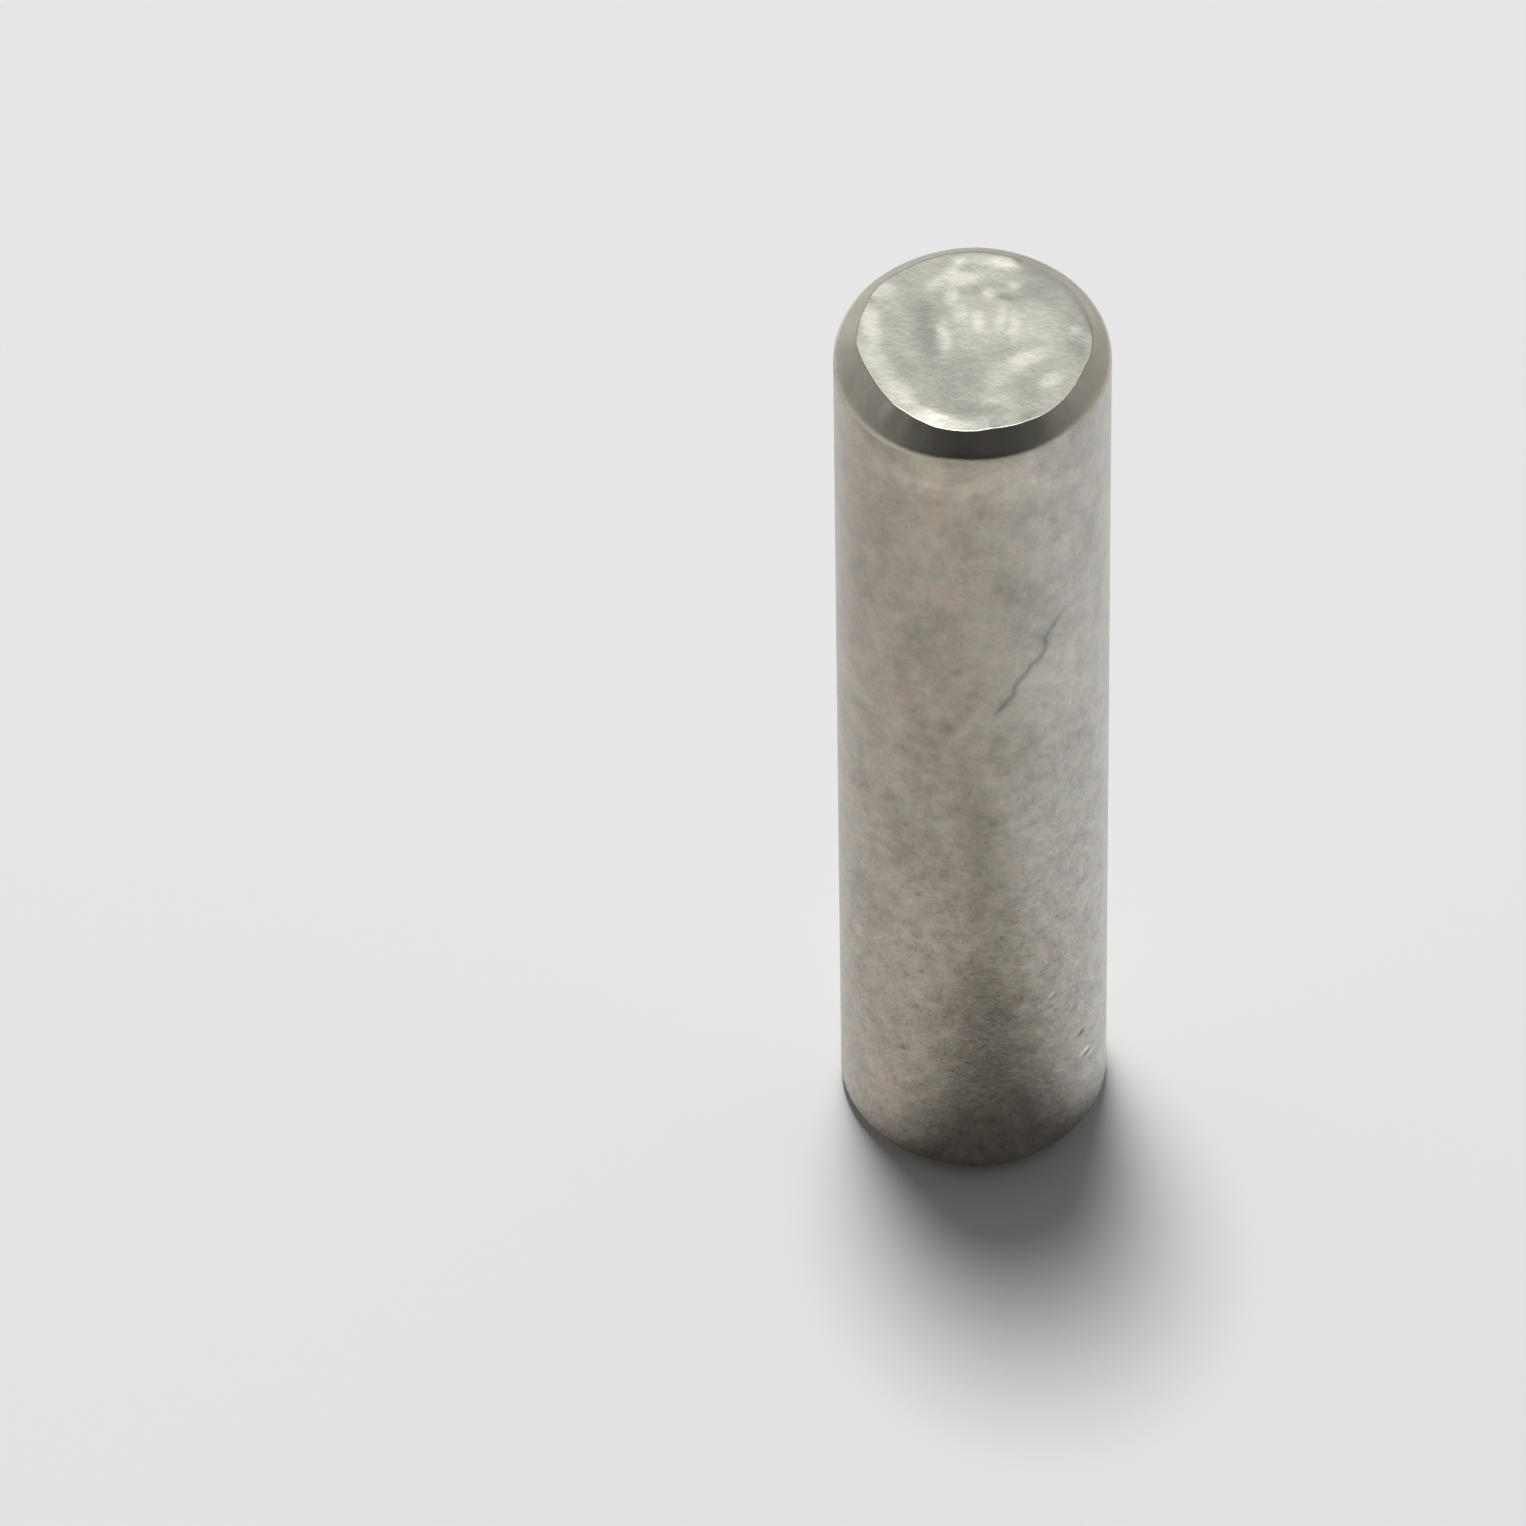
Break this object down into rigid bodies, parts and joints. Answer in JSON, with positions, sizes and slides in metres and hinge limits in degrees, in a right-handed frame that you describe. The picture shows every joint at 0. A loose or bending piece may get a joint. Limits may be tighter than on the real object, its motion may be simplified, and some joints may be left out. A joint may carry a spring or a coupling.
{
  "type": "dowel pin",
  "caption": "Plain ground steel cylinder with a chamfer on both ends, pressed into reamed holes to locate two parts.",
  "frame": {"origin": "centre of the lower end face, which the pin stands on", "axes": "+Z along the pin's axis, from the lower end face to the upper one; X and Y are alike"},
  "size_m": [0.006, 0.006, 0.025],
  "materials": {
    "ground_steel": "bare steel, ground and tumbled to a satin sheen, with dull mottled ends"
  },
  "bodies": {
    "root": {"dowel_pin": "ground_steel"}
  },
  "joints": []
}
